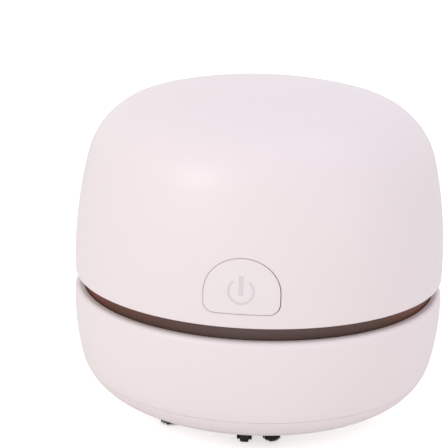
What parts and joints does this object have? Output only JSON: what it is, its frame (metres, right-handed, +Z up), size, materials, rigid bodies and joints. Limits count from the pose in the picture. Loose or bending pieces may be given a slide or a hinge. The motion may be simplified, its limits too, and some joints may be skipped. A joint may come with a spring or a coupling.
{
  "type": "desktop mini vacuum cleaner",
  "caption": "Round two-part desk vacuum cleaner: domed head with push button, motor, fan and cell, on a dust base with filter, tufted brush and small swivel casters.",
  "frame": {"origin": "on the desk below the axis of the round body", "axes": "+Z up along the axis, -Y towards the button, +X to the right seen from the button"},
  "size_m": [0.0842, 0.0842, 0.0765],
  "materials": {
    "shell": "satin moulded ABS, very pale pink white",
    "inner_plastic": "plain moulded ABS, off white",
    "smoke": "glossy smoke-brown clear plastic",
    "black_plastic": "plain moulded, black",
    "grey_plastic": "plain moulded, dark grey",
    "bristle": "black nylon bristle",
    "filter_cloth": "needled felt, off white",
    "seal_rubber": "soft moulded rubber, dark grey",
    "steel": "drawn and plated steel",
    "board": "green solder resist on glass fibre",
    "cell_sleeve": "blue shrink sleeve"
  },
  "bodies": {
    "base": {"base_bowl": "shell", "suction_nozzle": "black_plastic", "brush_strip_1": "bristle", "brush_strip_2": "bristle", "brush_strip_3": "bristle", "dust_cup": "smoke"},
    "filter": {"filter_frame": "grey_plastic", "filter_cloth": "filter_cloth"},
    "head": {"dome_shell": "shell", "head_chassis": "inner_plastic", "seal_ring": "seal_rubber", "fan_housing": "inner_plastic", "motor_can": "steel", "motor_end_cap": "black_plastic", "battery_cell": "cell_sleeve", "control_board": "board", "tact_switch": "black_plastic", "charge_board": "board", "charge_socket": "steel", "head_screw_1": "steel", "head_screw_2": "steel", "head_screw_3": "steel", "head_screw_4": "steel"},
    "rotor": {"impeller": "grey_plastic", "motor_shaft": "steel"},
    "button": {"power_button": "shell", "switch_stem": "inner_plastic"},
    "caster_1": {"caster_fork_1": "black_plastic", "caster_axle_1": "steel"},
    "wheel_1": {"caster_wheel_1": "grey_plastic"},
    "caster_2": {"caster_fork_2": "black_plastic", "caster_axle_2": "steel"},
    "wheel_2": {"caster_wheel_2": "grey_plastic"},
    "caster_3": {"caster_fork_3": "black_plastic", "caster_axle_3": "steel"},
    "wheel_3": {"caster_wheel_3": "grey_plastic"}
  },
  "joints": [
    {"name": "head_lift", "type": "slide", "parent": "base", "child": "head", "axis": [0, 0, 1], "range_m": [0, 0.045]},
    {"name": "filter_lift", "type": "slide", "parent": "base", "child": "filter", "axis": [0, 0, 1], "range_m": [0, 0.0225]},
    {"name": "fan_spin", "type": "hinge", "parent": "head", "child": "rotor", "pos_m": [0, 0, 0.045], "axis": [0, 0, 1], "continuous": true},
    {"name": "button_press", "type": "slide", "parent": "head", "child": "button", "axis": [0, 1, 0], "range_m": [0, 0.0008], "stiffness_N_per_m": 800},
    {"name": "caster_1_swivel", "type": "hinge", "parent": "base", "child": "caster_1", "pos_m": [0, -0.0244, 0.006], "axis": [0, 0, 1], "continuous": true},
    {"name": "wheel_1_roll", "type": "hinge", "parent": "caster_1", "child": "wheel_1", "pos_m": [0, -0.024, 0.0022], "axis": [1, 0, 0], "continuous": true},
    {"name": "caster_2_swivel", "type": "hinge", "parent": "base", "child": "caster_2", "pos_m": [0.02113, 0.0122, 0.006], "axis": [0, 0, 1], "continuous": true},
    {"name": "wheel_2_roll", "type": "hinge", "parent": "caster_2", "child": "wheel_2", "pos_m": [0.02113, 0.0126, 0.0022], "axis": [1, 0, 0], "continuous": true},
    {"name": "caster_3_swivel", "type": "hinge", "parent": "base", "child": "caster_3", "pos_m": [-0.02113, 0.0122, 0.006], "axis": [0, 0, 1], "continuous": true},
    {"name": "wheel_3_roll", "type": "hinge", "parent": "caster_3", "child": "wheel_3", "pos_m": [-0.02113, 0.0126, 0.0022], "axis": [1, 0, 0], "continuous": true}
  ],
  "couplings": [
    {"joint": "filter_lift", "follows": "head_lift", "ratio": 0.5}
  ]
}
